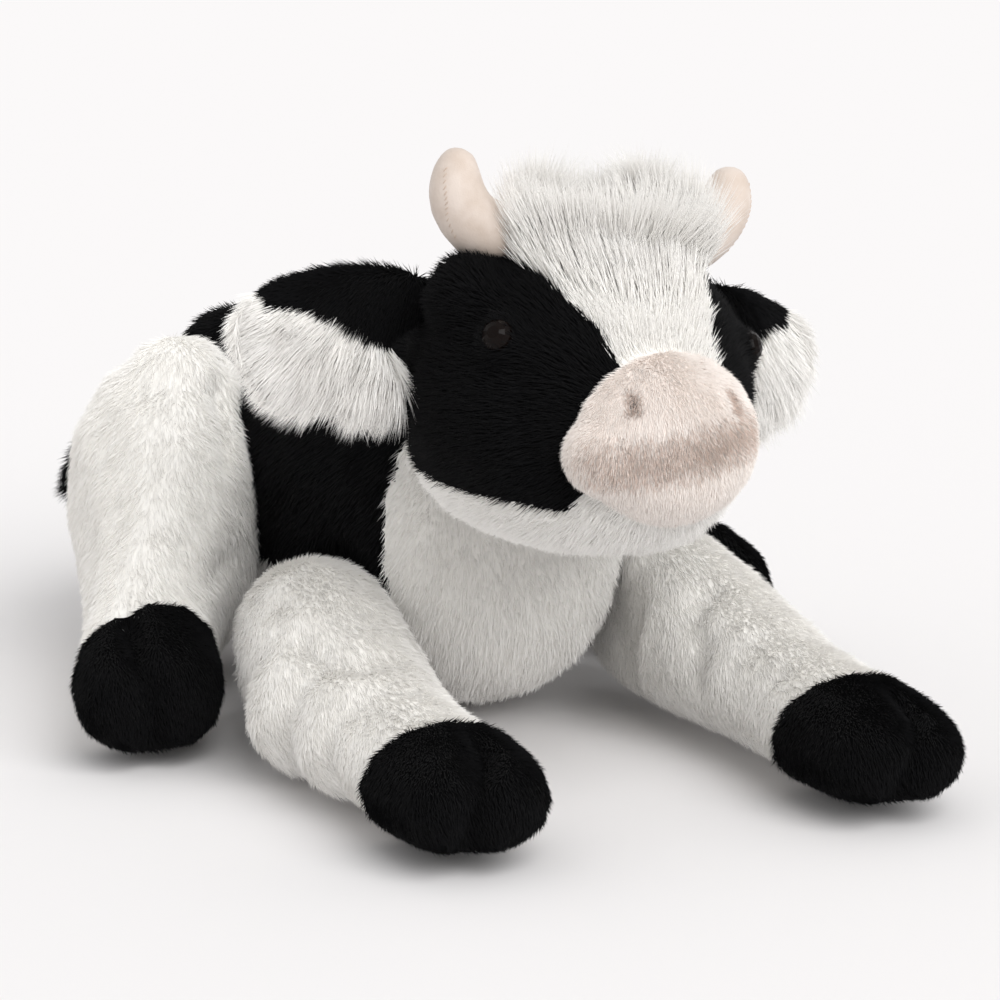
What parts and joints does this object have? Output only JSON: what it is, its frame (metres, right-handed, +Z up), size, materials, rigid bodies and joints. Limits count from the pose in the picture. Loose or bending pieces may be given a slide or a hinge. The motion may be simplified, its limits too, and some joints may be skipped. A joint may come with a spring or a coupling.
{
  "type": "stuffed toy cow",
  "caption": "Stuffed plush toy cow lying on its belly with its forelegs stretched out, patched pile cloth, soft horns, floppy ears and domed safety eyes.",
  "frame": {"origin": "middle of the bounding box's underside, on the surface that the toy lies on", "axes": "+Z up, -Y the way the cow faces, +X to the cow's left"},
  "size_m": [0.3626, 0.479, 0.2787],
  "materials": {
    "white_plush": "soft pile, matte",
    "black_plush": "soft pile, matte",
    "pink_plush": "short pile, matte",
    "cream_suede": "brushed suede cloth, matte",
    "white_fibre": "loose polyester fibre",
    "brown_eye": "polished",
    "white_washer": "moulded, satin"
  },
  "bodies": {
    "body": {"body_chest_bib": "white_plush", "body_belly_panel": "white_plush", "body_rump_panel": "white_plush", "body_saddle_right": "black_plush", "body_saddle_left": "black_plush", "body_filling": "white_fibre"},
    "head": {"head_blaze": "white_plush", "head_jaw_ruff": "white_plush", "head_face_right": "black_plush", "head_face_left": "black_plush", "head_muzzle": "pink_plush", "head_forelock": "white_plush", "head_filling": "white_fibre", "horn_right": "cream_suede", "horn_left": "cream_suede", "horn_right_filling": "white_fibre", "horn_left_filling": "white_fibre", "eye_right": "brown_eye", "eye_left": "brown_eye", "eye_washer_right": "white_washer", "eye_washer_left": "white_washer"},
    "ear_right": {"ear_right_back": "black_plush", "ear_right_lining": "white_plush"},
    "foreleg_right": {"foreleg_right": "white_plush", "fore_hoof_right": "black_plush", "foreleg_right_filling": "white_fibre"},
    "hind_leg_right": {"hind_leg_right": "white_plush", "hind_hoof_right": "black_plush", "hind_leg_right_filling": "white_fibre"},
    "ear_left": {"ear_left_back": "black_plush", "ear_left_lining": "white_plush"},
    "foreleg_left": {"foreleg_left": "white_plush", "fore_hoof_left": "black_plush", "foreleg_left_filling": "white_fibre"},
    "hind_leg_left": {"hind_leg_left": "white_plush", "hind_hoof_left": "black_plush", "hind_leg_left_filling": "white_fibre"},
    "tail": {"tail": "white_plush", "tail_tuft": "black_plush"}
  },
  "joints": [
    {"name": "head_twist", "type": "hinge", "parent": "body", "child": "head", "pos_m": [0.00945, -0.05352, 0.138], "axis": [0, -0.8192, 0.5736], "range_deg": [-15, 15], "stiffness_Nm_per_rad": 0.6},
    {"name": "ear_right_flap", "type": "hinge", "parent": "head", "child": "ear_right", "pos_m": [-0.05157, -0.08399, 0.21307], "axis": [-0.1372, -0.9901, 0.0289], "range_deg": [-12, 0], "stiffness_Nm_per_rad": 0.15},
    {"name": "ear_left_flap", "type": "hinge", "parent": "head", "child": "ear_left", "pos_m": [0.07396, -0.07521, 0.19537], "axis": [-0.2736, 0.9614, 0.0289], "range_deg": [-12, 0], "stiffness_Nm_per_rad": 0.15},
    {"name": "foreleg_right_swing", "type": "hinge", "parent": "body", "child": "foreleg_right", "pos_m": [-0.05055, -0.01552, 0.046], "axis": [1, 0, 0], "range_deg": [-11, 5], "stiffness_Nm_per_rad": 1},
    {"name": "foreleg_left_swing", "type": "hinge", "parent": "body", "child": "foreleg_left", "pos_m": [0.06945, -0.01552, 0.046], "axis": [1, 0, 0], "range_deg": [-11, 5], "stiffness_Nm_per_rad": 1},
    {"name": "hind_leg_right_swing", "type": "hinge", "parent": "body", "child": "hind_leg_right", "pos_m": [-0.06255, 0.11248, 0.076], "axis": [1, 0, 0], "range_deg": [-5, 4], "stiffness_Nm_per_rad": 1.5},
    {"name": "hind_leg_left_swing", "type": "hinge", "parent": "body", "child": "hind_leg_left", "pos_m": [0.08145, 0.11248, 0.076], "axis": [1, 0, 0], "range_deg": [-5, 4], "stiffness_Nm_per_rad": 1.5},
    {"name": "tail_swing", "type": "hinge", "parent": "body", "child": "tail", "pos_m": [0.00945, 0.20848, 0.118], "axis": [0, 1, 0], "range_deg": [-10, 25], "stiffness_Nm_per_rad": 0.12}
  ]
}
